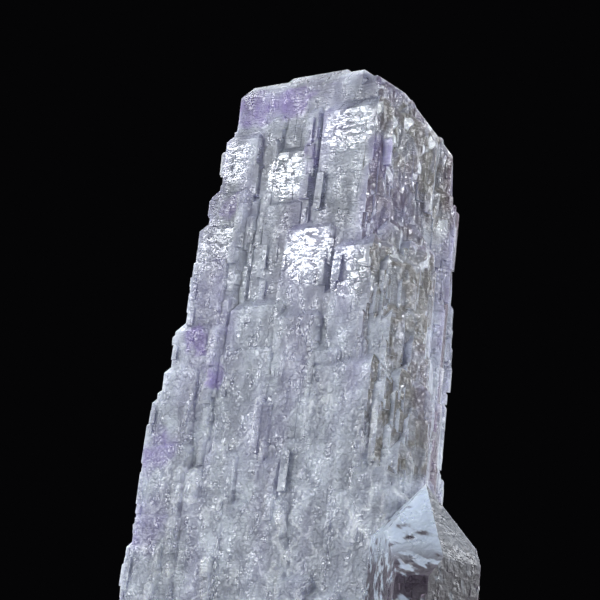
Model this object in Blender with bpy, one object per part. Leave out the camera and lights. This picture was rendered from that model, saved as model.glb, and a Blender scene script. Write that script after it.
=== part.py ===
"""Amethyst crystal.

One upright quartz crystal of the stepped kind: a six-sided trunk, covered with parallel
plates that each end in a small point of their own, so that it widens towards its foot in
many ledges. A second, smaller crystal has grown out of its lower front right. All of it
is one solid, sawn off flat at the foot.

Everything is worked out in the crystal's own frame, in millimetres, with the growth axis
along +Z. The whole is then leaned over, and stood on its sawn foot over the origin.
"""
import math
import random

import bmesh
import bpy
from mathutils import Matrix, Vector

NAME = "amethyst_crystal"
MM = 0.001

# Quartz has six sides, 60 degrees apart, and its point has six faces, each standing
# 51.8 degrees from the horizontal above one of the sides
SIDES = 6
SIXTY = math.radians(60.0)
FIRST_SIDE = -38.0
TIP_SLOPE = 51.8

# the big sloping face of the point, above the fourth side, is worn a little flatter,
# and would meet the axis at this height
BIG_FACE = FIRST_SIDE + 180.0
BIG_FACE_SLOPE = 47.0
BIG_FACE_APEX = 56.0

# how far the whole crystal leans from upright, in degrees
LEAN_RIGHT = 6.0
LEAN_BACK = 6.0

# the uncut block that each rib is faceted from: its size, and how far below the saw cut
# the first one starts and each further one starts below the last
BLOCK_SIZE = 120.0
ROOT_DEPTH = 14.0
ROOT_STEP = 0.07
# distance within which a cut runs through a corner that is already there
CORNER_SNAP = 0.0001

# distance of the six sides from the axis, at a few heights from the top down
PROFILE = (
    (61.0, (9.2, 11.4, 10.4, 9.0, 13.0, 14.3)),
    (55.0, (9.4, 11.5, 10.5, 9.0, 13.4, 15.1)),
    (50.0, (9.7, 12.2, 10.4, 9.1, 13.8, 15.9)),
    (42.0, (10.4, 15.6, 9.8, 9.2, 14.3, 17.0)),
    (30.0, (11.4, 18.6, 10.4, 9.5, 15.0, 18.5)),
    (0.0, (13.0, 23.4, 13.2, 11.2, 16.4, 21.6)),
)
TRUNK_SHOULDERS = (63.4, 62.9, 58.0, 60.0, 56.0, 63.8)

# stages in which the trunk widened, each seen as a ledge between the plates
STAGE_HEIGHTS = (54.0, 50.0, 46.5, 43.0, 39.0, 35.0, 30.0, 24.0, 18.0, 11.0, 4.0)
STAGE_JITTER = 1.7
STAGE_SUNK = 0.35

# the plates that the eye picks out: side, middle across the side, distance from the
# axis, width, height of the shoulder, depth, and width of the face of its tip
MARKED_PLATES = (
    (0, -3.0, 9.2, 17.0, 64.2, 4.0, 1.2),
    (0, 5.3, 10.3, 7.2, 60.4, 1.7, 1.2),
    (0, -0.05, 10.0, 1.5, 60.7, 1.5, 0.7),
    (0, 7.2, 10.0, 4.6, 50.2, 1.7, 0.9),
    (0, -10.0, 9.9, 4.5, 58.8, 3.0, 1.3),
    (0, -5.4, 9.6, 1.6, 60.9, 1.4, 0.8),
    (0, -10.5, 10.3, 5.3, 52.3, 3.4, 1.3),
    (0, -3.0, 9.8, 6.6, 56.6, 1.6, 0.9),
    (0, -2.6, 10.2, 4.5, 50.4, 1.8, 0.9),
    (0, 1.6, 10.8, 6.1, 47.1, 2.2, 1.1),
    (0, 8.3, 11.2, 4.9, 44.5, 2.4, 1.2),
    (0, -11.0, 10.8, 5.9, 48.2, 3.4, 1.3),
    (0, -11.6, 11.1, 4.7, 44.4, 3.0, 1.1),
    (0, -11.7, 11.7, 6.4, 36.5, 3.6, 1.5),
    (0, -13.2, 12.0, 4.7, 31.8, 3.4, 1.2),
    (0, -13.8, 12.3, 5.4, 28.4, 3.4, 1.3),
    (0, -4.2, 11.6, 6.2, 33.8, 2.2, 1.1),
    (0, 1.9, 11.5, 5.2, 37.2, 2.2, 1.1),
    (0, 9.0, 12.0, 7.4, 31.4, 2.4, 1.2),
    (0, -13.6, 12.6, 5.9, 23.4, 3.4, 1.2),
    (0, -13.4, 12.9, 5.9, 15.6, 3.4, 1.1),
    (0, -14.4, 13.2, 4.8, 12.4, 3.2, 1.0),
    (1, -0.5, 12.3, 7.2, 59.6, 2.6, 1.0),
    (1, -1.9, 14.2, 1.8, 46.6, 2.6, 0.8),
    (1, 0.9, 14.9, 2.2, 44.6, 2.6, 0.9),
    (1, -0.4, 16.3, 1.6, 40.6, 2.6, 0.8),
    (1, -1.8, 17.4, 1.5, 36.4, 2.6, 0.8),
    (1, 0.6, 18.0, 1.5, 34.0, 2.6, 0.8),
    (1, -0.9, 18.9, 1.4, 30.2, 2.6, 0.8),
    (1, 0.5, 19.5, 1.4, 27.0, 2.6, 0.8),
    (1, -0.8, 20.2, 1.4, 22.6, 2.6, 0.8),
)

# low terraces lying on the big sloping face: side that their front runs along, middle
# across it, distance from the axis, width, how far they stand proud, and depth
TERRACES = (
    (0, -2.0, 7.7, 8.2, 2.75, 4.0),
    (0, -5.6, 4.4, 9.0, 0.5, 7.0),
    (0, 3.4, 1.8, 7.5, 0.6, 5.5),
    (5, -4.4, 10.8, 6.0, 0.45, 6.0),
    (0, -3.2, -3.6, 8.0, 0.4, 5.0),
)
TERRACE_TIP = 0.5

# the crowd of narrower plates all round, each a little proud of the trunk
CROWD_SEED = 7
CROWD_LEVELS = 6
CROWD_TOP = 57.0
CROWD_WIDTH = (2.2, 5.2)
CROWD_SPACING = (0.75, 1.1)
CROWD_OVERHANG = 0.3
CROWD_PROUD = (0.05, 0.55)
CROWD_DEPTH = (1.8, 3.2)
CROWD_TIP = (0.6, 1.3)
CROWD_BELOW_TOP = (1.5, 4.0)

# the smaller crystal at the lower front right: where its axis stands, its height, the
# way its first side looks and the distance of its six sides from its own axis
SMALL_AXIS = (9.1, -20.5)
SMALL_APEX = 19.2
SMALL_FIRST_SIDE = -14.0
SMALL_REACH = (7.8, 6.2, 4.8, 6.0, 6.0, 4.3)
# its plates: side, middle across, distance from its axis, width, shoulder height, depth
# and width of the tip's face
SMALL_PLATES = (
    (1, 0.0, 6.7, 3.6, 6.4, 2.4, 0.9),
    (2, -1.2, 5.4, 3.4, 8.8, 2.4, 0.9),
    (2, 2.2, 5.8, 3.0, 5.2, 2.6, 0.8),
    (0, 1.1, 8.2, 2.4, 4.6, 1.9, 0.7),
)

SURFACE_COLOUR = (0.55, 0.53, 0.66, 1.0)
SURFACE_ROUGHNESS = 0.25
LIGHT_PASSED = 0.6
QUARTZ_IOR = 1.544


def outward(azimuth):
    """Level direction that a side looks in: 0 is towards -Y, 90 towards +X."""
    turn = math.radians(azimuth)
    return Vector((math.sin(turn), -math.cos(turn), 0.0))


def along(azimuth):
    """Level direction to the right along a side, for someone who faces it."""
    turn = math.radians(azimuth)
    return Vector((math.cos(turn), math.sin(turn), 0.0))


def up(height):
    return Vector((0.0, 0.0, height))


def side_azimuth(side):
    return FIRST_SIDE + math.degrees(SIXTY) * side


def facet(bm, point, direction):
    """Cut a block by one plane and close the cut with a flat face."""
    cut = bmesh.ops.bisect_plane(
        bm,
        geom=bm.verts[:] + bm.edges[:] + bm.faces[:],
        dist=CORNER_SNAP,
        plane_co=point,
        plane_no=direction,
        clear_outer=True,
    )
    rim = [item for item in cut["geom_cut"] if isinstance(item, bmesh.types.BMEdge)]
    if rim:
        bmesh.ops.edgeloop_fill(bm, edges=rim)


def tip_facet(bm, point, azimuth, slope=TIP_SLOPE):
    rise = math.radians(slope)
    facet(bm, point, outward(azimuth) * math.sin(rise) + up(math.cos(rise)))


def solid_from(bm, name, group):
    bmesh.ops.recalc_face_normals(bm, faces=bm.faces)
    mesh = bpy.data.meshes.new(name)
    bm.to_mesh(mesh)
    bm.free()
    solid = bpy.data.objects.new(name, mesh)
    group.objects.link(solid)
    return solid


def rough_block(group):
    """The uncut block of the next rib. Each starts a little lower than the one before."""
    bm = bmesh.new()
    bmesh.ops.create_cube(bm, size=BLOCK_SIZE)
    root = -ROOT_DEPTH - ROOT_STEP * len(group.objects)
    bmesh.ops.translate(bm, verts=bm.verts, vec=up(root + BLOCK_SIZE / 2.0))
    return bm


def column(name, group, reaches, shoulders, apex):
    """A full six-sided crystal round the main axis."""
    bm = rough_block(group)
    for side in range(SIDES):
        azimuth = side_azimuth(side)
        edge = outward(azimuth) * reaches[side]
        facet(bm, edge, outward(azimuth))
        tip_facet(bm, edge + up(shoulders[side]), azimuth)
    tip_facet(bm, up(apex), BIG_FACE, BIG_FACE_SLOPE)
    return solid_from(bm, name, group)


def plate(name, group, azimuth, middle, reach, width, top, depth, tip, axis=Vector()):
    """A flat rib lying on one side of a crystal and ending above in its own point."""
    bm = rough_block(group)
    face = axis + outward(azimuth) * reach + along(azimuth) * middle
    half = along(azimuth) * width / 2.0
    for point, turn in ((face - half, -60.0), (face, 0.0), (face + half, 60.0)):
        facet(bm, point, outward(azimuth + turn))
        tip_facet(bm, point + up(top), azimuth + turn)
    facet(bm, face - outward(azimuth) * depth, -outward(azimuth))
    crest = face - outward(azimuth) * tip + up(top + tip * math.tan(math.radians(TIP_SLOPE)))
    tip_facet(bm, crest, BIG_FACE, BIG_FACE_SLOPE)
    return solid_from(bm, name, group)


def reach_at(side, height):
    """Distance of a side from the axis at a height, read along the profile."""
    for (upper, wide_up), (lower, wide_low) in zip(PROFILE, PROFILE[1:]):
        if height >= lower or lower == PROFILE[-1][0]:
            share = min(max((upper - height) / (upper - lower), 0.0), 1.0)
            return wide_up[side] + share * (wide_low[side] - wide_up[side])


def side_ends(side, height):
    """Left and right ends of a side at a height, measured along it."""
    reach = reach_at(side, height)
    before = reach_at((side - 1) % SIDES, height)
    after = reach_at((side + 1) % SIDES, height)
    left = (reach * math.cos(SIXTY) - before) / math.sin(SIXTY)
    right = (after - reach * math.cos(SIXTY)) / math.sin(SIXTY)
    return left, right


def big_face_height(azimuth, middle, reach):
    """Height of the big sloping face above a spot."""
    spot = outward(azimuth) * reach + along(azimuth) * middle
    return BIG_FACE_APEX - spot.dot(outward(BIG_FACE)) * math.tan(math.radians(BIG_FACE_SLOPE))


def stages(group, chance):
    for number, height in enumerate(STAGE_HEIGHTS):
        shoulders = [height + chance.uniform(-STAGE_JITTER, STAGE_JITTER) for _ in range(SIDES)]
        reaches = [reach_at(side, shoulders[side]) - STAGE_SUNK for side in range(SIDES)]
        column(f"stage_{number}", group, reaches, shoulders, BIG_FACE_APEX - 1.0)


def marked_plates(group, side):
    for number, (on_side, *sizes) in enumerate(MARKED_PLATES):
        if on_side == side:
            plate(f"marked_{number}", group, side_azimuth(side), *sizes)


def crowd(group, side, chance):
    """Narrow plates on one side, level above level."""
    azimuth = side_azimuth(side)
    band = CROWD_TOP / CROWD_LEVELS
    for level in range(CROWD_LEVELS):
        left, right = side_ends(side, band * (level + 0.5))
        place = left + chance.uniform(0.0, CROWD_WIDTH[0])
        while place < right - CROWD_WIDTH[0] / 2.0:
            width = min(chance.uniform(*CROWD_WIDTH), right + CROWD_OVERHANG - place)
            middle = place + width / 2.0
            top = band * (level + chance.random())
            reach = reach_at(side, top) + chance.uniform(*CROWD_PROUD)
            limit = big_face_height(azimuth, middle, reach) - chance.uniform(*CROWD_BELOW_TOP)
            depth = chance.uniform(*CROWD_DEPTH)
            tip = chance.uniform(*CROWD_TIP)
            name = f"crowd_{side}_{len(group.objects)}"
            plate(name, group, azimuth, middle, reach, width, min(top, limit), depth, tip)
            place += width * chance.uniform(*CROWD_SPACING)


def terraces(group):
    """Low steps on the big sloping face, left by growth that stopped short."""
    for number, (side, middle, reach, width, proud, depth) in enumerate(TERRACES):
        azimuth = side_azimuth(side)
        rise = TERRACE_TIP * math.tan(math.radians(TIP_SLOPE))
        top = big_face_height(azimuth, middle, reach - TERRACE_TIP) + proud - rise
        name = f"terrace_{number}"
        plate(name, group, azimuth, middle, reach, width, top, depth, TERRACE_TIP)


def small_crystal(group):
    """The second crystal, turned otherwise, with a few plates on its outer sides."""
    bm = rough_block(group)
    axis = Vector((*SMALL_AXIS, 0.0))
    for side in range(SIDES):
        azimuth = SMALL_FIRST_SIDE + math.degrees(SIXTY) * side
        facet(bm, axis + outward(azimuth) * SMALL_REACH[side], outward(azimuth))
        tip_facet(bm, axis + up(SMALL_APEX), azimuth)
    solid_from(bm, "small_crystal", group)
    for number, (side, *sizes) in enumerate(SMALL_PLATES):
        azimuth = SMALL_FIRST_SIDE + math.degrees(SIXTY) * side
        plate(f"small_plate_{number}", group, azimuth, *sizes, axis=axis)


def keep_result(body):
    """Replace a body's mesh by what its modifiers make of it."""
    seen = body.evaluated_get(bpy.context.evaluated_depsgraph_get())
    mesh = bpy.data.meshes.new_from_object(seen)
    body.modifiers.clear()
    body.data = mesh


def fuse(body, group):
    """Join a body with every solid of a group into one, and remove those solids."""
    join = body.modifiers.new("grown together", "BOOLEAN")
    join.operation = "UNION"
    join.operand_type = "COLLECTION"
    join.collection = group
    keep_result(body)
    for solid in list(group.objects):
        bpy.data.objects.remove(solid, do_unlink=True)


def new_group(name):
    group = bpy.data.collections.new(name)
    bpy.context.scene.collection.children.link(group)
    return group


def clad_side(side, ribs, clusters, chance):
    """Fuse the plates of one side into one cluster."""
    marked_plates(ribs, side)
    crowd(ribs, side, chance)
    cluster = ribs.objects[0]
    clusters.objects.link(cluster)
    ribs.objects.unlink(cluster)
    fuse(cluster, ribs)


def grown_crystal(parts, ribs, clusters):
    chance = random.Random(CROWD_SEED)
    body = column("trunk", parts, PROFILE[0][1], TRUNK_SHOULDERS, BIG_FACE_APEX)
    stages(ribs, chance)
    terraces(ribs)
    small_crystal(ribs)
    fuse(body, ribs)
    for side in range(SIDES):
        clad_side(side, ribs, clusters, chance)
    fuse(body, clusters)
    body.name = NAME
    return body


def lean_over(body):
    back = Matrix.Rotation(math.radians(-LEAN_BACK), 4, "X")
    right = Matrix.Rotation(math.radians(LEAN_RIGHT), 4, "Y")
    body.data.transform(back @ right)


def saw_foot(body, group):
    """Cut the foot off flat and level."""
    bm = bmesh.new()
    bmesh.ops.create_cube(bm, size=BLOCK_SIZE)
    bmesh.ops.translate(bm, verts=bm.verts, vec=up(-BLOCK_SIZE / 2.0))
    ground = solid_from(bm, "ground", group)
    cut = body.modifiers.new("sawn foot", "BOOLEAN")
    cut.operation = "DIFFERENCE"
    cut.object = ground
    keep_result(body)
    bpy.data.objects.remove(ground, do_unlink=True)


def stand_on_origin(body):
    """Centre the foot's outline over the origin and go from millimetres to metres."""
    places = [vertex.co for vertex in body.data.vertices]
    low = Vector([min(place[i] for place in places) for i in range(3)])
    high = Vector([max(place[i] for place in places) for i in range(3)])
    middle = (low + high) / 2.0
    shift = Matrix.Translation((-middle.x, -middle.y, -low.z))
    body.data.transform(Matrix.Scale(MM, 4) @ shift)


def milky_amethyst():
    """Cloudy quartz that lets part of the light through, pale lilac at its tips."""
    material = bpy.data.materials.new("milky amethyst")
    material.use_nodes = True
    surface = material.node_tree.nodes["Principled BSDF"]
    surface.inputs["Base Color"].default_value = SURFACE_COLOUR
    surface.inputs["Roughness"].default_value = SURFACE_ROUGHNESS
    surface.inputs["Transmission Weight"].default_value = LIGHT_PASSED
    surface.inputs["IOR"].default_value = QUARTZ_IOR
    return material


def main():
    for old in list(bpy.data.objects):
        bpy.data.objects.remove(old, do_unlink=True)
    parts = new_group(NAME)
    ribs = new_group("ribs")
    clusters = new_group("clusters")
    body = grown_crystal(parts, ribs, clusters)
    lean_over(body)
    saw_foot(body, ribs)
    stand_on_origin(body)
    body.data.materials.append(milky_amethyst())


main()
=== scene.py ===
"""Amethyst crystal, dressed: a cloudy lilac quartz crystal of the stepped kind.

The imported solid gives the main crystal, its larger plates and the small crystal at its
foot. Here its sides are overgrown with the fine plates, flutes and grains that the real
one has, and it is given the finish of milky amethyst.
"""

import math
import random

import bmesh
import bpy
from mathutils import Matrix, Vector


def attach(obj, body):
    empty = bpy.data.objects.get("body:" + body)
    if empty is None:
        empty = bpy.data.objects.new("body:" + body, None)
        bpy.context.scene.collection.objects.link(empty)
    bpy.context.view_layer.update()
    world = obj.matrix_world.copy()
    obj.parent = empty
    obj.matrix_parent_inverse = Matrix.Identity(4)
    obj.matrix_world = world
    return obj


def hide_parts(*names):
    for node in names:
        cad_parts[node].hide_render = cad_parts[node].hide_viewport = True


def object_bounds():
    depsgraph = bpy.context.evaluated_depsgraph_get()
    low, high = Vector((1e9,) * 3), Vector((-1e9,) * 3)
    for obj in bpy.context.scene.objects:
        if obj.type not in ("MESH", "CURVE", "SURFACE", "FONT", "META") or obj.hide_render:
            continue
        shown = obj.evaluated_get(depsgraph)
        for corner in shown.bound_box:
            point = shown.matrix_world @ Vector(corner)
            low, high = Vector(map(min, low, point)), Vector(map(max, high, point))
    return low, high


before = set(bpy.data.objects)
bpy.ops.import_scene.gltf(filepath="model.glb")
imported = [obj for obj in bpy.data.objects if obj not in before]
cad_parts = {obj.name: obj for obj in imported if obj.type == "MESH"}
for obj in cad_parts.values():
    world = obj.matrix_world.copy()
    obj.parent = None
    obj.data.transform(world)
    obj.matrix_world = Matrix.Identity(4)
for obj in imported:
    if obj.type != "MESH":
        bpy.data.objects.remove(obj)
CAD_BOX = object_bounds()


# The camera stands a little lower than the crystal's middle and looks up at it, as for a
# close photograph of a small specimen. Its long lens keeps the sides nearly parallel.
MM = 0.001
SENSOR_MM = 36.0
LENS_MM = 125.45
CAMERA_MM = (1.75, -219.32, 9.49)
CAMERA_LOOKS_UP = 8.0

camera = bpy.data.objects.new("camera", bpy.data.cameras.new("camera"))
camera.data.sensor_width = SENSOR_MM
camera.data.lens = LENS_MM
camera.data.clip_start = 10.0 * MM
camera.location = Vector(CAMERA_MM) * MM
camera.rotation_euler = (math.radians(90.0 + CAMERA_LOOKS_UP), 0.0, 0.0)
bpy.context.scene.collection.objects.link(camera)
bpy.context.scene.camera = camera
bpy.context.scene.view_settings.view_transform = "Standard"


# The stage is a round, pale, matt table top in a dim room. A softbox stands at the left,
# where the broad front mirrors it, and a smaller one at the right front for the glints of
# the right side. Larger sheets, two behind and one above, draw the edges. All are cool.
TABLE_RADIUS = 1.2
TABLE_COLOUR = "#BEBCB8"
ROOM_COLOUR = "#050506"
LIGHT_COLOUR = "#F4F8FF"
LIGHTS = (
    # name, azimuth, elevation, distance in m, size in m, watts
    ("softbox left", -79.0, 22.0, 0.55, 0.15, 2.5),
    ("softbox right", 48.0, 16.0, 0.60, 0.12, 2.4),
    ("sheet right", 112.0, 20.0, 0.50, 0.35, 2.6),
    ("sheet left", -140.0, 30.0, 0.50, 0.35, 2.6),
    ("sheet above", 0.0, 70.0, 0.55, 0.40, 2.0),
)
TABLE_ROUGHNESS = 0.6
# how often light is followed on, in all and through clear quartz
LIGHT_BOUNCES = 3
CLEAR_BOUNCES = 3


def linear(hex_colour):
    """An sRGB hex colour as linear RGBA."""
    shares = [int(hex_colour[i : i + 2], 16) / 255.0 for i in (1, 3, 5)]
    return (*[s / 12.92 if s <= 0.04045 else ((s + 0.055) / 1.055) ** 2.4 for s in shares], 1.0)


def add(tree, kind, inputs=None, **settings):
    """Add a node, set it up, and give its inputs values or other nodes' results."""
    made = tree.nodes.new(kind)
    for name, value in settings.items():
        setattr(made, name, value)
    for socket, value in (inputs or {}).items():
        if isinstance(value, bpy.types.Node):
            value = next(output for output in value.outputs if output.enabled)
        if isinstance(value, bpy.types.NodeSocket):
            tree.links.new(value, made.inputs[socket])
        else:
            made.inputs[socket].default_value = value
    return made


def new_material(name):
    """A material with its Principled BSDF, ready for more nodes."""
    material = bpy.data.materials.new(name)
    material.use_nodes = True
    return material, material.node_tree, material.node_tree.nodes["Principled BSDF"]


def level_direction(azimuth):
    """Level direction of an azimuth: 0 is towards -Y, 90 towards +X."""
    turn = math.radians(azimuth)
    return Vector((math.sin(turn), -math.cos(turn), 0.0))


crystal_middle = (CAD_BOX[0] + CAD_BOX[1]) / 2.0
for name, azimuth, elevation, distance, size, watts in LIGHTS:
    rise = math.radians(elevation)
    towards = level_direction(azimuth) * math.cos(rise) + Vector((0.0, 0.0, math.sin(rise)))
    lamp = bpy.data.objects.new(name, bpy.data.lights.new(name, "AREA"))
    lamp.data.size = size
    lamp.data.energy = watts
    lamp.data.color = linear(LIGHT_COLOUR)[:3]
    lamp.location = crystal_middle + towards * distance
    lamp.rotation_euler = towards.to_track_quat("Z", "Y").to_euler()
    bpy.context.scene.collection.objects.link(lamp)

world = bpy.data.worlds.new("room")
world.use_nodes = True
world.node_tree.nodes["Background"].inputs["Color"].default_value = linear(ROOM_COLOUR)
bpy.context.scene.world = world
bpy.context.scene.cycles.max_bounces = LIGHT_BOUNCES
bpy.context.scene.cycles.transmission_bounces = CLEAR_BOUNCES

table_mesh = bpy.data.meshes.new("table_top")
bm = bmesh.new()
bmesh.ops.create_circle(bm, cap_ends=True, segments=96, radius=TABLE_RADIUS)
bm.to_mesh(table_mesh)
bm.free()
table = bpy.data.objects.new("table_top", table_mesh)
bpy.context.scene.collection.objects.link(table)
table_material, table_tree, table_surface = new_material("matt painted table top")
table_surface.inputs["Base Color"].default_value = linear(TABLE_COLOUR)
table_surface.inputs["Roughness"].default_value = TABLE_ROUGHNESS
table_mesh.materials.append(table_material)


# The crystal's fine overgrowth: thousands of small plates, each with a point of its own,
# that grew parallel to the crystal on its sides, long flutes on its right front, and
# sugary grains on its lower half. All are the same quartz and are fused with it.
LEAN_RIGHT = 6.0
LEAN_BACK = 6.0
AXIS_FOOT_MM = Vector((3.07, 5.28, 0.0))
SIXTY = 60.0
FRONT_SIDE = -38.0
RIGHT_SIDE = FRONT_SIDE + SIXTY
TIP_SLOPE = math.radians(51.8)
BACK_SLOPE = math.radians(47.0)
CORNER_MERGE = 0.001 * MM
CUT_SNAP = 0.0001
ROUGH_BLOCK = 40.0
CHIP_DEPTH = 0.7
CHIP_TIP = (0.12, 0.4)
CHIP_SKEW = (-0.5, 0.5)
SIDE_STEEPNESS = 0.12
SIDE_MATCH = 0.95
CHIP_TURN = math.radians(1.5)
GROUND_SIZE = (0.2, 0.2, 0.1)
OVERGROWTH = (
    # name, kinds, seed, lengths in widths, widths in mm, number per square mm,
    # mm that they stand proud, tilt in degrees, highest place in mm, only on this side
    ("plates", 12, 3, (1.6, 4.0), (0.4, 1.3), 0.35, (0.02, 0.10), (0.4, 2.0), 70.0, None),
    ("flutes", 8, 5, (3.0, 8.0), (0.4, 1.2), 0.55, (0.05, 0.45), (-3.0, 4.0), 70.0, RIGHT_SIDE),
    ("grains", 8, 9, (0.8, 1.6), (0.3, 0.8), 0.70, (0.02, 0.12), (-6.0, 9.0), 40.0, None),
)

lean_right = Matrix.Rotation(math.radians(LEAN_RIGHT), 3, "Y")
lean = Matrix.Rotation(math.radians(-LEAN_BACK), 3, "X") @ lean_right
growth_axis = lean @ Vector((0.0, 0.0, 1.0))


def facet(bm, point, direction):
    """Cut a block by one plane and close the cut."""
    cut = bmesh.ops.bisect_plane(
        bm,
        geom=bm.verts[:] + bm.edges[:] + bm.faces[:],
        dist=CUT_SNAP,
        plane_co=point,
        plane_no=direction,
        clear_outer=True,
    )
    rim = [item for item in cut["geom_cut"] if isinstance(item, bmesh.types.BMEdge)]
    if rim:
        bmesh.ops.edgeloop_fill(bm, edges=rim)


def chip(name, length, tip, skew):
    """A small plate one unit wide, its front at y = 0 and its shoulder at z = 0."""
    bm = bmesh.new()
    bmesh.ops.create_cube(bm, size=ROUGH_BLOCK)
    bmesh.ops.translate(bm, verts=bm.verts, vec=(0.0, 0.0, ROUGH_BLOCK / 2.0 - length))
    for across in (-0.5, 0.0, 0.5):
        level = level_direction(180.0 - 2.0 * SIXTY * across)
        edge = Vector((across, 0.0, 0.0))
        facet(bm, edge, level)
        shoulder = edge + Vector((0.0, 0.0, skew * across))
        facet(bm, shoulder, level * math.sin(TIP_SLOPE) + Vector((0.0, 0.0, math.cos(TIP_SLOPE))))
    facet(bm, Vector((0.0, -CHIP_DEPTH, 0.0)), Vector((0.0, -1.0, 0.0)))
    crest = Vector((0.0, -tip, tip * math.tan(TIP_SLOPE)))
    facet(bm, crest, Vector((0.0, -math.sin(BACK_SLOPE), math.cos(BACK_SLOPE))))
    bmesh.ops.recalc_face_normals(bm, faces=bm.faces)
    mesh = bpy.data.meshes.new(name)
    bm.to_mesh(mesh)
    bm.free()
    return bpy.data.objects.new(name, mesh)


def chip_kinds(name, count, lengths, seed):
    """Chips of like proportions, for the tree to pick from."""
    kinds = bpy.data.collections.new(name)
    chance = random.Random(seed)
    for number in range(count):
        sizes = chance.uniform(*lengths), chance.uniform(*CHIP_TIP), chance.uniform(*CHIP_SKEW)
        kinds.objects.link(chip(f"{name}_{number}", *sizes))
    return kinds


def strew(tree, start, row):
    """Set the chips of one row of OVERGROWTH on the sides, parallel to the growth axis."""
    name, count, seed, lengths, _, _, proud, tilt, highest, side = row
    axis = start.outputs["Growth Axis"]
    normal = add(tree, "GeometryNodeInputNormal").outputs["Normal"]
    place = add(tree, "GeometryNodeInputPosition").outputs["Position"]
    upwards = add(tree, "ShaderNodeVectorMath", {0: normal, 1: axis}, operation="DOT_PRODUCT")
    steepness = add(tree, "ShaderNodeMath", {0: upwards.outputs["Value"]}, operation="ABSOLUTE")
    wanted = add(tree, "ShaderNodeMath", {0: steepness, 1: SIDE_STEEPNESS}, operation="LESS_THAN")
    height = add(tree, "ShaderNodeVectorMath", {0: place, 1: axis}, operation="DOT_PRODUCT")
    inputs = {0: height.outputs["Value"], 1: highest * MM}
    low_enough = add(tree, "ShaderNodeMath", inputs, operation="LESS_THAN")
    wanted = add(tree, "ShaderNodeMath", {0: wanted, 1: low_enough}, operation="MULTIPLY")
    if side is not None:
        outward = {0: normal, 1: lean @ level_direction(side)}
        facing = add(tree, "ShaderNodeVectorMath", outward, operation="DOT_PRODUCT")
        inputs = {0: facing.outputs["Value"], 1: SIDE_MATCH}
        matches = add(tree, "ShaderNodeMath", inputs, operation="GREATER_THAN")
        wanted = add(tree, "ShaderNodeMath", {0: wanted, 1: matches}, operation="MULTIPLY")
    points = add(
        tree,
        "GeometryNodeDistributePointsOnFaces",
        {
            "Mesh": start.outputs["Geometry"],
            "Selection": wanted,
            "Density": start.outputs[f"{name} per Square Metre"],
            "Seed": seed,
        },
    )
    upright = add(tree, "FunctionNodeAlignRotationToVector", {"Vector": axis}, axis="Z")
    turned = add(
        tree,
        "FunctionNodeAlignRotationToVector",
        {"Rotation": upright, "Vector": points.outputs["Normal"]},
        axis="Y",
        pivot_axis="Z",
    )
    low_turn = (math.radians(tilt[0]), 0.0, -CHIP_TURN)
    high_turn = (math.radians(tilt[1]), 0.0, CHIP_TURN)
    unevenness = add(
        tree,
        "FunctionNodeRandomValue",
        {0: low_turn, 1: high_turn, "Seed": seed + 1},
        data_type="FLOAT_VECTOR",
    )
    unevenness = add(tree, "FunctionNodeEulerToRotation", {0: unevenness})
    turned = add(tree, "FunctionNodeRotateRotation", {0: turned, 1: unevenness}, rotation_space="LOCAL")
    kinds = add(tree, "GeometryNodeCollectionInfo", {"Separate Children": True, "Reset Children": True})
    kinds.inputs["Collection"].default_value = chip_kinds(name, count, lengths, seed)
    widths = {2: start.outputs[f"{name} Smallest Width"], 3: start.outputs[f"{name} Largest Width"]}
    widths["Seed"] = seed + 2
    width = add(tree, "FunctionNodeRandomValue", widths, data_type="FLOAT")
    chips = add(
        tree,
        "GeometryNodeInstanceOnPoints",
        {
            "Points": points.outputs["Points"],
            "Instance": kinds,
            "Pick Instance": True,
            "Rotation": turned,
            "Scale": width.outputs[1],
        },
    )
    steps = {2: proud[0] * MM, 3: proud[1] * MM, "Seed": seed + 3}
    step = add(tree, "FunctionNodeRandomValue", steps, data_type="FLOAT")
    shift = add(tree, "ShaderNodeCombineXYZ", {"Y": step.outputs[1]})
    return add(
        tree,
        "GeometryNodeTranslateInstances",
        {"Instances": chips, "Translation": shift, "Local Space": True},
    )


def overgrowth_tree():
    """Strew all chips, fuse them with the crystal, and saw its foot flat again."""
    tree = bpy.data.node_groups.new("overgrowth", "GeometryNodeTree")
    tree.interface.new_socket("Geometry", in_out="INPUT", socket_type="NodeSocketGeometry")
    tree.interface.new_socket("Geometry", in_out="OUTPUT", socket_type="NodeSocketGeometry")
    tree.interface.new_socket("Growth Axis", in_out="INPUT", socket_type="NodeSocketVector")
    tree.interface.new_socket("Material", in_out="INPUT", socket_type="NodeSocketMaterial")
    for row in OVERGROWTH:
        for measure in ("per Square Metre", "Smallest Width", "Largest Width"):
            socket = f"{row[0]} {measure}"
            tree.interface.new_socket(socket, in_out="INPUT", socket_type="NodeSocketFloat")
    start = add(tree, "NodeGroupInput")
    fused = add(tree, "GeometryNodeMeshBoolean", operation="UNION", solver="MANIFOLD")
    tree.links.new(start.outputs["Geometry"], fused.inputs["Mesh 2"])
    for row in OVERGROWTH:
        tree.links.new(strew(tree, start, row).outputs["Instances"], fused.inputs["Mesh 2"])
    ground = add(tree, "GeometryNodeMeshCube", {"Size": GROUND_SIZE})
    below = (0.0, 0.0, -GROUND_SIZE[2] / 2.0)
    ground = add(tree, "GeometryNodeTransform", {"Geometry": ground, "Translation": below})
    sawn = add(
        tree,
        "GeometryNodeMeshBoolean",
        {"Mesh 1": fused, "Mesh 2": ground},
        operation="DIFFERENCE",
        solver="MANIFOLD",
    )
    real = add(tree, "GeometryNodeRealizeInstances", {"Geometry": sawn})
    finished = add(
        tree, "GeometryNodeSetMaterial", {"Geometry": real, "Material": start.outputs["Material"]}
    )
    add(tree, "NodeGroupOutput", {"Geometry": finished})
    return tree


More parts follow.
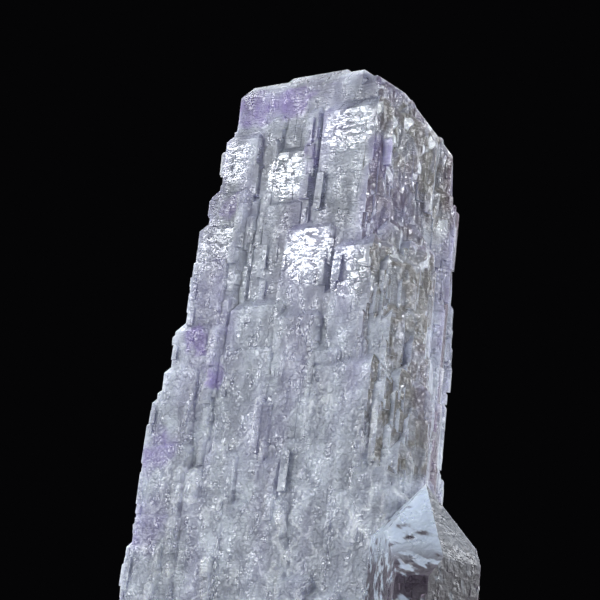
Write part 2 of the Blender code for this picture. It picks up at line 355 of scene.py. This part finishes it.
# Milky amethyst quartz, as grown: hard and glossy, but cloudy, so that light comes out of
# it softly. It is greyish white, violet in the points of the plates and under the top edge,
# glossy and greener on the right, and dark mauve with white frost on the small crystal.
QUARTZ_IOR = 1.544
CLOUDY = "#8D92A0"
# frost white, also used for the painted highlight along the top ledge
FROST_AND_PAINTED_HIGHLIGHT = "#D0D7E0"
GREEN_GREY = "#86837C"
# white for painted highlights: the glints on the right and the brightest crests low down
PAINTED_GLINT = "#EEF2F6"
BLUE_WHITE = "#C6D2E0"
# painted shade on the small crystal's right side
PAINTED_SHADE_ON_ITS_RIGHT = "#2A2529"
VIOLET = "#7C62B0"
DUSKY = "#6C5E68"
MAUVE = "#3E3440"
INNER_TINT = "#DAD6E2"
INNER_TINT_DENSITY = 18.0
# light walks a few millimetres in the cloudy part before it comes out
SCATTER_MM = 2.2
SCATTER_COLOURS = (1.0, 0.95, 1.1)

# uneven growth: mm that its features are wide and tall, finer detail, distortion, and
# how far the pattern is moved
GROWTH = {
    "veils": (3.0, 5.0, 2.0, 0.0, 0.0),
    "faint violet": (5.0, 12.0, 1.0, 0.0, 7.0),
    "frost": (1.6, 2.4, 3.0, 0.0, 3.0),
    "crust_and_painted_glints": (3.2, 4.2, 3.0, 0.0, 19.0),
    "crusted parts": (5.0, 7.0, 1.0, 0.0, 29.0),
    "glaze": (2.2, 3.4, 1.0, 1.4, 13.0),
    "painted_glints": (1.0, 2.2, 1.0, 0.0, 47.0),
    "streaks": (1.1, 5.0, 3.0, 0.0, 5.0),
    "even growth": (0.9, 0.5, 1.0, 0.0, 23.0),
    "cracks": (0.9, 0.4, 1.0, 0.0, 41.0),
    "striae": (1.4, 0.22, 1.0, 0.0, 0.0),
    "pits": (0.22, 0.18, 0.0, 0.0, 0.0),
    "flutes": (1.3, 3.6, 1.0, 0.8, 0.0),
    "sugar": (0.42, 0.5, 0.0, 0.0, 31.0),
    "dullness": (1.2, 2.0, 1.0, 0.0, 11.0),
    "clearness": (4.0, 7.0, 0.0, 0.0, 17.0),
}
# patches in it: where in the growth they begin and are full, and their values there
PATCHES = {
    "veils": (0.3, 0.6, 0.55, 1.0),
    "faint violet": (0.45, 0.7, 0.0, 0.3),
    "frost": (0.35, 0.7, 0.0, 0.7),
    "crusted parts": (0.45, 0.6, 0.0, 1.0),
    "glaze": (0.46, 0.6, 1.0, 0.5),
    "painted_glints": (0.59, 0.65, 0.0, 1.0),
    "even growth": (0.38, 0.46, 0.0, 1.0),
    "sugar": (0.35, 0.7, 0.0, 1.0),
    "dullness": (0.35, 0.65, 0.26, 0.5),
    "clearness": (0.3, 0.7, 0.45, 0.8),
}
# patches, spots and ranges of height all end softly
SMOOTH = {"interpolation_type": "SMOOTHSTEP"}
# how wide seams are, as a share of the growth's range, and how white the crust's are, its crests being
# partly painted highlights
SEAM_WIDTH = 0.04
CRUST_STRENGTH = 0.7

# heights in mm between which the crystal turns sugary and gets more violet, its painted white
# glints and the painted highlight on its top ledge begin, and the small crystal's point is frosted
SUGARY_FROM, SUGARY_BELOW = 50.0, 26.0
VIOLET_FROM, VIOLET_ABOVE = 5.0, 60.0
PAINTED_GLINTS_FROM, PAINTED_GLINTS_ABOVE = 36.0, 44.0
PAINTED_LEDGE_HIGHLIGHT_FROM, PAINTED_LEDGE_HIGHLIGHT_ABOVE = 64.7, 65.2
POINT_FROM, POINT_ABOVE = 10.0, 13.5
# how much more frost there is low down, and how much of the faint violet
SUGARY_FROST = 0.12
LOW_VIOLET = 0.5

FAR_SIDE = RIGHT_SIDE + SIXTY
# violet spots: side azimuth, mm across the side, mm from the axis, height in mm, radius
# across and along the axis in mm, strength
VIOLET_SPOTS = (
    (FRONT_SIDE, -9.6, 9.4, 62.6, 4.5, 3.0, 0.9),
    (FRONT_SIDE, -4.0, 9.4, 63.0, 5.5, 2.6, 0.9),
    (FRONT_SIDE, 0.6, 9.6, 56.0, 1.3, 5.5, 0.6),
    (FRONT_SIDE, 10.3, 10.3, 55.0, 2.6, 6.5, 0.4),
    (FRONT_SIDE, -10.7, 10.3, 51.4, 2.6, 2.4, 0.9),
    (FRONT_SIDE, -11.5, 11.7, 35.2, 2.7, 2.6, 0.85),
    (FRONT_SIDE, -8.4, 12.0, 31.0, 2.4, 1.8, 0.7),
    (FRONT_SIDE, -14.2, 12.3, 23.0, 3.4, 3.2, 0.6),
    (FRONT_SIDE, -14.6, 12.8, 15.0, 4.5, 4.5, 0.4),
)
# brownish mauve, the same measures
DUSKY_SPOTS = (
    (RIGHT_SIDE, 7.0, 12.3, 55.0, 4.0, 9.0, 0.8),
    (RIGHT_SIDE, 6.0, 15.5, 38.0, 4.0, 14.0, 0.6),
    (FAR_SIDE, -0.5, 10.4, 54.0, 5.5, 11.0, 1.0),
    (FAR_SIDE, -2.7, 10.6, 39.0, 5.5, 12.0, 1.0),
    (FAR_SIDE, -3.2, 11.0, 25.0, 5.5, 12.0, 0.9),
)
# bright, even patches that mirror the light: the same measures, and how even they are
EVEN_SPOTS = (
    (FRONT_SIDE, 5.4, 10.3, 58.2, 4.4, 3.2, 1.0),
    (FRONT_SIDE, -2.9, 9.8, 54.0, 3.4, 3.4, 0.9),
    (FRONT_SIDE, -10.6, 9.9, 56.3, 2.8, 3.2, 0.8),
    (FRONT_SIDE, 1.9, 10.8, 44.2, 4.2, 4.0, 1.0),
    (FRONT_SIDE, 7.8, 11.2, 42.0, 3.4, 4.0, 0.8),
    (FRONT_SIDE, -11.0, 10.8, 46.0, 3.0, 4.0, 0.6),
    (RIGHT_SIDE, -0.2, 12.0, 49.5, 2.0, 4.0, 1.0),
)
# how soft the outline of a coloured spot and of an even patch is, in shares of its radius
SOFT_OUTLINE = 0.7
CRISP_OUTLINE = 0.35
# the coloured spots' outlines wander by this much, in waves of this length
RAGGED_BY_MM = 5.0
RAGGED_MM = 2.5

# the small crystal: its axis, its first side, its top, and where its sides end
SMALL_AXIS_MM = Vector((9.1, -20.5, 0.0))
SMALL_FIRST_SIDE = -14.0
SMALL_TOP = 19.2
SMALL_TOP_FADES = 2.0
SMALL_REACH = 8.5
SMALL_REACH_FADES = 1.0
# its streaks: their slant in degrees, where in the growth they begin and are full, near
# the point and elsewhere, how white they are there, and how much is left on its right
STREAKS_SLANT = -50.0
POINT_STREAKS_FROM, POINT_STREAKS = 0.3, 0.45
STREAKS_FROM, STREAKS = 0.52, 0.62
STREAKS_WHITENESS = 0.8
WHITE_ON_ITS_RIGHT = 0.15
# distance from the axis, at the foot and at a height, beyond which the right side begins
RIGHT_LINE_FOOT = 21.4
RIGHT_LINE_TOP = 9.4
RIGHT_LINE_HEIGHT = 60.0
# how nearly a face looks the way a side does, to be counted to it
ALIKE_FROM = 0.55
ALIKE = 0.75

# how far the finest growth stands up, in mm, and how much of it is left on even patches
# and on the small crystal
STRIAE_MM = 0.07
PITS_MM = 0.045
CRACKS_MM = 0.03
FLUTES_MM = 0.8
FLUTES_ON_PAINTED_GLINTS_MM = 0.15
SUGAR_MM = 0.09
RELIEF_LEFT = 0.35

EVEN_ROUGHNESS = 0.15
RIGHT_ROUGHNESS = 0.14
SUGARY_CLEARNESS = 0.7
RIGHT_CLEARNESS = 0.55

material, tree, surface = new_material("milky amethyst quartz")


def growth(name, slant=0.0):
    """Uneven growth all over the crystal, as one row of GROWTH says."""
    across, along, detail, distortion, shift = GROWTH[name]
    inputs = {"Vector": in_crystal, "Scale": (across, across, along), "Location": (shift,) * 3}
    inputs["Rotation"] = (0.0, math.radians(slant), 0.0)
    stretched = add(tree, "ShaderNodeMapping", inputs, vector_type="TEXTURE")
    inputs = {"Vector": stretched, "Scale": 1.0, "Detail": detail, "Distortion": distortion}
    return add(tree, "ShaderNodeTexNoise", inputs).outputs["Fac"]


def patches(name):
    """The patches of one row of PATCHES, in the growth of the same name."""
    start, full, least, most = PATCHES[name]
    inputs = {0: growth(name), 1: start, 2: full, 3: least, 4: most}
    return add(tree, "ShaderNodeMapRange", inputs, **SMOOTH)


def seams(name, strength):
    """Thin, wandering lines, where uneven growth passes through its middle."""
    wander = add(tree, "ShaderNodeMath", {0: growth(name), 1: 0.5}, operation="SUBTRACT")
    wander = add(tree, "ShaderNodeMath", {0: wander}, operation="ABSOLUTE")
    return add(tree, "ShaderNodeMapRange", {0: wander, 2: SEAM_WIDTH, 3: strength, 4: 0.0}, **SMOOTH)


def looks_towards(azimuth):
    """1 on faces that look the way a side does."""
    outward = {0: normal, 1: lean @ level_direction(azimuth)}
    facing = add(tree, "ShaderNodeVectorMath", outward, operation="DOT_PRODUCT").outputs["Value"]
    return add(tree, "ShaderNodeMapRange", {0: facing, 1: ALIKE_FROM, 2: ALIKE}, **SMOOTH)


def spots(rows, core, where):
    """How much a place belongs to any of a list of spots: 1 within their core."""
    most = 0.0
    for azimuth, across, reach, high, wide, tall, strength in rows:
        out = level_direction(azimuth)
        spot = out * reach + level_direction(azimuth + 90.0) * across + Vector((0.0, 0.0, high))
        inputs = {"Vector": where, "Location": spot, "Scale": (wide, wide, tall)}
        moved = add(tree, "ShaderNodeMapping", inputs, vector_type="TEXTURE")
        ball = add(tree, "ShaderNodeTexGradient", {"Vector": moved}, gradient_type="SPHERICAL")
        share = add(tree, "ShaderNodeMapRange", {0: ball, 2: core, 4: strength}, **SMOOTH)
        most = add(tree, "ShaderNodeMath", {0: most, 1: share}, operation="MAXIMUM")
    return most


def coated(colour, coats):
    """A colour under coats of others, each where it has a share."""
    for share, hex_colour in coats:
        inputs = {0: share, 6: colour, 7: linear(hex_colour)}
        colour = add(tree, "ShaderNodeMix", inputs, data_type="RGBA").outputs[2]
    return colour


# each place in the crystal's own frame, in mm, with its growth axis along Z
place = add(tree, "ShaderNodeTexCoord").outputs["Object"]
inputs = {"Vector": place, "Location": AXIS_FOOT_MM * MM, "Scale": (MM, MM, MM)}
inputs["Rotation"] = lean.to_euler()
in_crystal = add(tree, "ShaderNodeMapping", inputs, vector_type="TEXTURE").outputs["Vector"]
height = add(tree, "ShaderNodeSeparateXYZ", {0: in_crystal}).outputs["Z"]
normal = add(tree, "ShaderNodeNewGeometry").outputs["Normal"]

# the small crystal is told by its faces, which are turned otherwise, near its own axis
offset = add(tree, "ShaderNodeVectorMath", {0: in_crystal, 1: SMALL_AXIS_MM}, operation="SUBTRACT")
offset = add(tree, "ShaderNodeVectorMath", {0: offset, 1: (1.0, 1.0, 0.0)}, operation="MULTIPLY")
from_small = add(tree, "ShaderNodeVectorMath", {0: offset}, operation="LENGTH").outputs["Value"]
inputs = {0: from_small, 1: SMALL_REACH + SMALL_REACH_FADES, 2: SMALL_REACH}
near_small = add(tree, "ShaderNodeMapRange", inputs, **SMOOTH)
inputs = {0: height, 1: SMALL_TOP + SMALL_TOP_FADES, 2: SMALL_TOP}
below_its_top = add(tree, "ShaderNodeMapRange", inputs, **SMOOTH)
beside_small = add(tree, "ShaderNodeMath", {0: near_small, 1: below_its_top}, operation="MULTIPLY")
inputs = {"Vector": normal, "Rotation": lean.inverted().to_euler()}
upright = add(tree, "ShaderNodeMapping", inputs, vector_type="VECTOR")
upright = add(tree, "ShaderNodeSeparateXYZ", {0: upright})
forward = add(tree, "ShaderNodeMath", {0: upright.outputs["Y"], 1: -1.0}, operation="MULTIPLY")
turn = add(tree, "ShaderNodeMath", {0: upright.outputs["X"], 1: forward}, operation="ARCTAN2")
inputs = {0: turn, 1: math.radians(SMALL_FIRST_SIDE)}
turn = add(tree, "ShaderNodeMath", inputs, operation="SUBTRACT")
sixfold = add(tree, "ShaderNodeMath", {0: turn, 1: 6.0}, operation="MULTIPLY")
sixfold = add(tree, "ShaderNodeMath", {0: sixfold}, operation="COSINE")
on_its_sides = add(tree, "ShaderNodeMapRange", {0: sixfold, 2: 0.5}, **SMOOTH)
on_small = add(tree, "ShaderNodeMath", {0: beside_small, 1: on_its_sides}, operation="MULTIPLY")

# the right side proper, and not the flanks of the front's plates, which look the same way
outward = {0: in_crystal, 1: level_direction(RIGHT_SIDE)}
reach = add(tree, "ShaderNodeVectorMath", outward, operation="DOT_PRODUCT").outputs["Value"]
inputs = {0: height, 2: RIGHT_LINE_HEIGHT, 3: RIGHT_LINE_FOOT, 4: RIGHT_LINE_TOP}
line = add(tree, "ShaderNodeMapRange", inputs, interpolation_type="LINEAR")
beyond = add(tree, "ShaderNodeMath", {0: reach, 1: line}, operation="SUBTRACT")
beyond = add(tree, "ShaderNodeMapRange", {0: beyond}, **SMOOTH)
faces_right = looks_towards(RIGHT_SIDE)
on_right = add(tree, "ShaderNodeMath", {0: faces_right, 1: beyond}, operation="MULTIPLY")
off_small = add(tree, "ShaderNodeMath", {0: 1.0, 1: beside_small}, operation="SUBTRACT")
on_right = add(tree, "ShaderNodeMath", {0: on_right, 1: off_small}, operation="MULTIPLY")

# places moved about a little, which makes the coloured spots' outlines ragged
inputs = {"Vector": in_crystal, "Scale": 1.0 / RAGGED_MM, "Detail": 1.0}
ragged = add(tree, "ShaderNodeTexNoise", inputs).outputs["Color"]
ragged = add(tree, "ShaderNodeVectorMath", {0: ragged, 1: (0.5,) * 3}, operation="SUBTRACT")
ragged = add(tree, "ShaderNodeVectorMath", {0: ragged, 1: (RAGGED_BY_MM,) * 3}, operation="MULTIPLY")
ragged = add(tree, "ShaderNodeVectorMath", {0: in_crystal, 1: ragged}, operation="ADD")

# frost on the main crystal, more of it low down, and a white line on the top ledge that is a painted
# highlight
low = add(tree, "ShaderNodeMapRange", {0: height, 1: SUGARY_FROM, 2: SUGARY_BELOW}, **SMOOTH)
more = add(tree, "ShaderNodeMath", {0: low, 1: SUGARY_FROST}, operation="MULTIPLY")
frost = add(tree, "ShaderNodeMath", {0: patches("frost"), 1: more}, operation="ADD")
painted_ledge_highlight = add(tree, "ShaderNodeMapRange", {0: height, 1: PAINTED_LEDGE_HIGHLIGHT_FROM, 2: PAINTED_LEDGE_HIGHLIGHT_ABOVE}, **SMOOTH)
# the painted highlight along the top ledge, laid on with the frost
frost = add(tree, "ShaderNodeMath", {0: frost, 1: painted_ledge_highlight}, operation="MAXIMUM")

# green-grey glass with white glints painted on the right as highlights, and curved white crests low
# down, partly painted highlights
glass = add(tree, "ShaderNodeMath", {0: on_right, 1: patches("glaze")}, operation="MULTIPLY")
# painted highlights: white glints painted on the upper right side, in place of reflected light
inputs = {0: height, 1: PAINTED_GLINTS_FROM, 2: PAINTED_GLINTS_ABOVE}
high_enough = add(tree, "ShaderNodeMapRange", inputs, **SMOOTH)
painted_glints = add(tree, "ShaderNodeMath", {0: on_right, 1: high_enough}, operation="MULTIPLY")
painted_glints = add(tree, "ShaderNodeMath", {0: patches("painted_glints"), 1: painted_glints}, operation="MULTIPLY")
# white crests low down: frost ridges, whitened further to the painted highlight white
crust_and_painted_glints = {0: seams("crust_and_painted_glints", CRUST_STRENGTH), 1: patches("crusted parts")}
crust_and_painted_glints = add(tree, "ShaderNodeMath", crust_and_painted_glints, operation="MULTIPLY")
crust_and_painted_glints = add(tree, "ShaderNodeMath", {0: crust_and_painted_glints, 1: low}, operation="MULTIPLY")

# violet in its spots, broken up by veils, and a faint violet elsewhere
violet = {0: spots(VIOLET_SPOTS, SOFT_OUTLINE, ragged), 1: patches("veils")}
violet = add(tree, "ShaderNodeMath", violet, operation="MULTIPLY")
inputs = {0: height, 1: VIOLET_FROM, 2: VIOLET_ABOVE, 3: LOW_VIOLET, 4: 1.0}
upwards = add(tree, "ShaderNodeMapRange", inputs, **SMOOTH)
faint = add(tree, "ShaderNodeMath", {0: patches("faint violet"), 1: upwards}, operation="MULTIPLY")
violet = add(tree, "ShaderNodeMath", {0: violet, 1: faint}, operation="MAXIMUM")
dusky = spots(DUSKY_SPOTS, SOFT_OUTLINE, ragged)

# the small crystal's white: a frosted point and slanting streaks, and little on its right
streaks = growth("streaks", STREAKS_SLANT)
inputs = {0: streaks, 1: POINT_STREAKS_FROM, 2: POINT_STREAKS}
white = add(tree, "ShaderNodeMapRange", inputs, **SMOOTH)
point = add(tree, "ShaderNodeMapRange", {0: height, 1: POINT_FROM, 2: POINT_ABOVE}, **SMOOTH)
white = add(tree, "ShaderNodeMath", {0: point, 1: white}, operation="MULTIPLY")
inputs = {0: streaks, 1: STREAKS_FROM, 2: STREAKS, 4: STREAKS_WHITENESS}
bright = add(tree, "ShaderNodeMapRange", inputs, **SMOOTH)
white = add(tree, "ShaderNodeMath", {0: white, 1: bright}, operation="MAXIMUM")
its_right = looks_towards(SMALL_FIRST_SIDE + SIXTY)
inputs = {0: its_right, 3: 1.0, 4: WHITE_ON_ITS_RIGHT}
left_there = add(tree, "ShaderNodeMapRange", inputs, **SMOOTH)
white = add(tree, "ShaderNodeMath", {0: white, 1: left_there}, operation="MULTIPLY")

main_coats = (
    # frost, with the painted highlight on the top ledge
    (frost, FROST_AND_PAINTED_HIGHLIGHT),
    (glass, GREEN_GREY),
    # white glints painted on the right as highlights
    (painted_glints, PAINTED_GLINT),
    # crests of frost, partly painted highlights
    (crust_and_painted_glints, PAINTED_GLINT),
    (dusky, DUSKY),
    (violet, VIOLET),
)
main_colour = coated(linear(CLOUDY), main_coats)
# the small crystal: dark mauve, painted shade on its right side, and its white frost
small_colour = coated(linear(MAUVE), ((its_right, PAINTED_SHADE_ON_ITS_RIGHT), (white, BLUE_WHITE)))
inputs = {0: on_small, 6: main_colour, 7: small_colour}
colour = add(tree, "ShaderNodeMix", inputs, data_type="RGBA")
tree.links.new(colour.outputs[2], surface.inputs["Base Color"])

# even patches, which are crossed by cracks
even = {0: spots(EVEN_SPOTS, CRISP_OUTLINE, in_crystal), 1: patches("even growth")}
even = add(tree, "ShaderNodeMath", even, operation="MULTIPLY")
cracks = seams("cracks", 1.0)
unbroken = add(tree, "ShaderNodeMath", {0: 1.0, 1: cracks}, operation="SUBTRACT")
even = add(tree, "ShaderNodeMath", {0: even, 1: unbroken}, operation="MULTIPLY")

# relief that is finer than the overgrowth: growth lines, pits and cracks, waves on the
# right side that are lower on its painted glints, and sugar on the lower half
relief = add(tree, "ShaderNodeMath", {0: growth("striae"), 1: STRIAE_MM}, operation="MULTIPLY")
inputs = {0: growth("pits"), 1: PITS_MM, 2: relief}
relief = add(tree, "ShaderNodeMath", inputs, operation="MULTIPLY_ADD")
left_on_even = add(tree, "ShaderNodeMapRange", {0: even, 3: 1.0, 4: RELIEF_LEFT}, **SMOOTH)
relief = add(tree, "ShaderNodeMath", {0: relief, 1: left_on_even}, operation="MULTIPLY")
inputs = {0: cracks, 1: -CRACKS_MM, 2: relief}
relief = add(tree, "ShaderNodeMath", inputs, operation="MULTIPLY_ADD")
waves = add(tree, "ShaderNodeMapRange", {0: painted_glints, 3: FLUTES_MM, 4: FLUTES_ON_PAINTED_GLINTS_MM}, **SMOOTH)
waves = add(tree, "ShaderNodeMath", {0: on_right, 1: waves}, operation="MULTIPLY")
inputs = {0: growth("flutes"), 1: waves, 2: relief}
relief = add(tree, "ShaderNodeMath", inputs, operation="MULTIPLY_ADD")
sugar = add(tree, "ShaderNodeMath", {0: patches("sugar"), 1: low}, operation="MULTIPLY")
inputs = {0: sugar, 1: SUGAR_MM, 2: relief}
relief = add(tree, "ShaderNodeMath", inputs, operation="MULTIPLY_ADD")
left_on_small = add(tree, "ShaderNodeMapRange", {0: on_small, 3: 1.0, 4: RELIEF_LEFT}, **SMOOTH)
relief = add(tree, "ShaderNodeMath", {0: relief, 1: left_on_small}, operation="MULTIPLY")
bump = add(tree, "ShaderNodeBump", {"Height": relief, "Distance": MM, "Strength": 1.0})
tree.links.new(bump.outputs["Normal"], surface.inputs["Normal"])

# gloss: mirror-like on the even patches and on the right, duller elsewhere
inputs = {0: even, 2: patches("dullness"), 3: EVEN_ROUGHNESS}
roughness = add(tree, "ShaderNodeMix", inputs, data_type="FLOAT").outputs[0]
inputs = {0: on_right, 2: roughness, 3: RIGHT_ROUGHNESS}
roughness = add(tree, "ShaderNodeMix", inputs, data_type="FLOAT").outputs[0]
tree.links.new(roughness, surface.inputs["Roughness"])

# what is clear lets light through and tints it, and what is cloudy scatters it
clearer = add(tree, "ShaderNodeMapRange", {0: low, 3: 1.0, 4: SUGARY_CLEARNESS}, **SMOOTH)
clearness = {0: patches("clearness"), 1: clearer}
clearness = add(tree, "ShaderNodeMath", clearness, operation="MULTIPLY")
inputs = {0: on_right, 2: clearness, 3: RIGHT_CLEARNESS}
clearness = add(tree, "ShaderNodeMix", inputs, data_type="FLOAT").outputs[0]
tree.links.new(clearness, surface.inputs["Transmission Weight"])
surface.inputs["IOR"].default_value = QUARTZ_IOR
surface.inputs["Subsurface Weight"].default_value = 1.0
surface.inputs["Subsurface Scale"].default_value = SCATTER_MM * MM
surface.inputs["Subsurface Radius"].default_value = SCATTER_COLOURS
tint = {"Color": linear(INNER_TINT), "Density": INNER_TINT_DENSITY}
absorbed = add(tree, "ShaderNodeVolumeAbsorption", tint)
tree.links.new(absorbed.outputs["Volume"], tree.nodes["Material Output"].inputs["Volume"])


# The finished crystal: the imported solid's loose triangles are merged in a copy, the
# overgrowth is fused with it, and the result is kept as one plain, flat-faced mesh.
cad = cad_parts["amethyst_crystal"]
bm = bmesh.new()
bm.from_mesh(cad.data)
bmesh.ops.remove_doubles(bm, verts=bm.verts, dist=CORNER_MERGE)
bare_mesh = bpy.data.meshes.new("bare_crystal")
bm.to_mesh(bare_mesh)
bm.free()
growing = bpy.data.objects.new("growing_crystal", bare_mesh)
bpy.context.scene.collection.objects.link(growing)
overgrow = growing.modifiers.new("overgrowth", "NODES")
overgrow.node_group = overgrowth_tree()
settings = {"Growth Axis": growth_axis, "Material": material}
for name, _, _, _, widths, density, *_ in OVERGROWTH:
    settings[f"{name} per Square Metre"] = density / MM**2
    settings[f"{name} Smallest Width"] = widths[0] * MM
    settings[f"{name} Largest Width"] = widths[1] * MM
for item in overgrow.node_group.interface.items_tree:
    if item.in_out == "INPUT" and item.name in settings:
        overgrow[item.identifier] = settings[item.name]
seen = growing.evaluated_get(bpy.context.evaluated_depsgraph_get())
grown_mesh = bpy.data.meshes.new_from_object(seen)
grown_mesh.shade_flat()
bpy.data.objects.remove(growing)
crystal = bpy.data.objects.new("amethyst", grown_mesh)
bpy.context.scene.collection.objects.link(crystal)
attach(crystal, "root")
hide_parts("amethyst_crystal")
